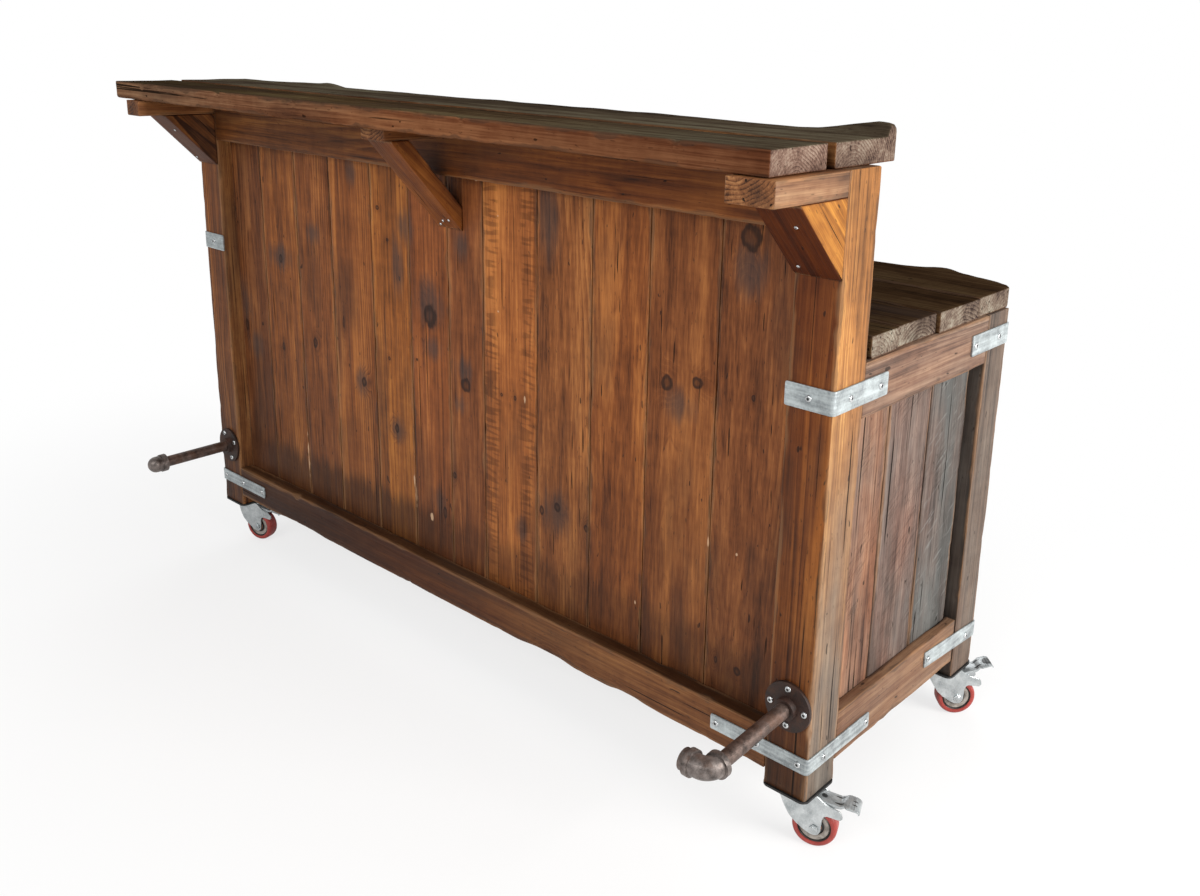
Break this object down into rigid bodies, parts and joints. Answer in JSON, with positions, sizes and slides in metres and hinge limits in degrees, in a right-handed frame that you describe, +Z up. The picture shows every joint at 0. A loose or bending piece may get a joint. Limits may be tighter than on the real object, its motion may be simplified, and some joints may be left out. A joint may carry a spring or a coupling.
{
  "type": "bar table",
  "caption": "Long two-level timber bar table on swivel casters: raised plank top on edge brackets over boarded front, lower plank counter behind, steel straps and foot rail brackets.",
  "frame": {"origin": "middle of the whole piece's box, on the floor", "axes": "+X along the front from the left end to the right end as guests see it, +Y from the guests' side to the staff side, +Z up"},
  "size_m": [1.984, 0.9552, 1.2485],
  "materials": {
    "bar_top_wood": "oiled, dark, worn edges",
    "counter_wood": "oiled, dark",
    "plank_wood": "reclaimed boards, mixed warm tones",
    "weathered_wood": "weathered, saw marked",
    "frame_wood": "stained, worn",
    "galvanised_steel": "galvanised",
    "zinc_steel": "zinc plated",
    "brown_iron": "oxidised brown",
    "dark_steel": "black, satin",
    "wheel_core": "matte",
    "red_tyre": "smooth polyurethane"
  },
  "bodies": {
    "table": {"post_front_left": "frame_wood", "post_front_right": "frame_wood", "post_rear_left": "frame_wood", "post_rear_right": "frame_wood", "apron_rail": "frame_wood", "kick_rail": "frame_wood", "front_planks": "plank_wood", "bar_plank_front": "bar_top_wood", "bar_plank_rear": "bar_top_wood", "bar_rear_lip": "bar_top_wood", "arm_right": "frame_wood", "arm_left": "frame_wood", "knee_left": "frame_wood", "knee_right": "frame_wood", "arm_middle": "frame_wood", "middle_brace": "frame_wood", "side_rail_top_right": "frame_wood", "side_rail_top_left": "frame_wood", "side_rail_low_right": "frame_wood", "side_rail_low_left": "frame_wood", "side_planks_right": "weathered_wood", "side_planks_left": "weathered_wood", "back_rail_top": "frame_wood", "back_rail_low": "frame_wood", "counter_bearers": "frame_wood", "counter_plank_1": "counter_wood", "counter_plank_2": "counter_wood", "counter_plank_3": "counter_wood", "counter_plank_4": "counter_wood", "straps_upper_front": "galvanised_steel", "straps_upper_rear": "galvanised_steel", "straps_lower_front": "galvanised_steel", "straps_lower_rear": "galvanised_steel", "strap_screws": "zinc_steel", "bracket_screws": "zinc_steel", "flange_left": "brown_iron", "pipe_left": "brown_iron", "flange_right": "brown_iron", "pipe_right": "brown_iron", "cap_left": "brown_iron", "elbow_right": "brown_iron", "flange_screws": "zinc_steel", "caster_plates": "dark_steel", "caster_screws": "zinc_steel"},
    "swivel_fl": {"caster_fork_fl": "zinc_steel"},
    "wheel_fl": {"caster_core_fl": "wheel_core", "caster_tyre_fl": "red_tyre"},
    "pedal_fl": {"caster_pedal_fl": "zinc_steel"},
    "swivel_fr": {"caster_fork_fr": "zinc_steel"},
    "wheel_fr": {"caster_core_fr": "wheel_core", "caster_tyre_fr": "red_tyre"},
    "pedal_fr": {"caster_pedal_fr": "zinc_steel"},
    "swivel_rl": {"caster_fork_rl": "zinc_steel"},
    "wheel_rl": {"caster_core_rl": "wheel_core", "caster_tyre_rl": "red_tyre"},
    "pedal_rl": {"caster_pedal_rl": "zinc_steel"},
    "swivel_rr": {"caster_fork_rr": "zinc_steel"},
    "wheel_rr": {"caster_core_rr": "wheel_core", "caster_tyre_rr": "red_tyre"},
    "pedal_rr": {"caster_pedal_rr": "zinc_steel"}
  },
  "joints": [
    {"name": "swivel_fl", "type": "hinge", "parent": "table", "child": "swivel_fl", "pos_m": [-0.90998, -0.19058, 0.108], "axis": [0, 0, 1], "continuous": true},
    {"name": "roll_fl", "type": "hinge", "parent": "swivel_fl", "child": "wheel_fl", "pos_m": [-0.87574, -0.17945, 0.04], "axis": [-0.309, 0.9511, 0], "continuous": true},
    {"name": "brake_fl", "type": "hinge", "parent": "swivel_fl", "child": "pedal_fl", "pos_m": [-0.86813, -0.17698, 0.086], "axis": [-0.309, 0.9511, 0], "range_deg": [-22, 8]},
    {"name": "swivel_fr", "type": "hinge", "parent": "table", "child": "swivel_fr", "pos_m": [0.88102, -0.19058, 0.108], "axis": [0, 0, 1], "continuous": true},
    {"name": "roll_fr", "type": "hinge", "parent": "swivel_fr", "child": "wheel_fr", "pos_m": [0.9144, -0.17709, 0.04], "axis": [-0.3746, 0.9272, 0], "continuous": true},
    {"name": "brake_fr", "type": "hinge", "parent": "swivel_fr", "child": "pedal_fr", "pos_m": [0.92182, -0.17409, 0.086], "axis": [-0.3746, 0.9272, 0], "range_deg": [-22, 8]},
    {"name": "swivel_rl", "type": "hinge", "parent": "table", "child": "swivel_rl", "pos_m": [-0.90998, 0.34592, 0.108], "axis": [0, 0, 1], "continuous": true},
    {"name": "roll_rl", "type": "hinge", "parent": "swivel_rl", "child": "wheel_rl", "pos_m": [-0.8779, 0.36227, 0.04], "axis": [-0.454, 0.891, 0], "continuous": true},
    {"name": "brake_rl", "type": "hinge", "parent": "swivel_rl", "child": "pedal_rl", "pos_m": [-0.87077, 0.3659, 0.086], "axis": [-0.454, 0.891, 0], "range_deg": [0, 30]},
    {"name": "swivel_rr", "type": "hinge", "parent": "table", "child": "swivel_rr", "pos_m": [0.88102, 0.34592, 0.108], "axis": [0, 0, 1], "continuous": true},
    {"name": "roll_rr", "type": "hinge", "parent": "swivel_rr", "child": "wheel_rr", "pos_m": [0.90692, 0.37093, 0.04], "axis": [-0.6947, 0.7193, 0], "continuous": true},
    {"name": "brake_rr", "type": "hinge", "parent": "swivel_rr", "child": "pedal_rr", "pos_m": [0.91268, 0.37649, 0.086], "axis": [-0.6947, 0.7193, 0], "range_deg": [0, 30]}
  ]
}
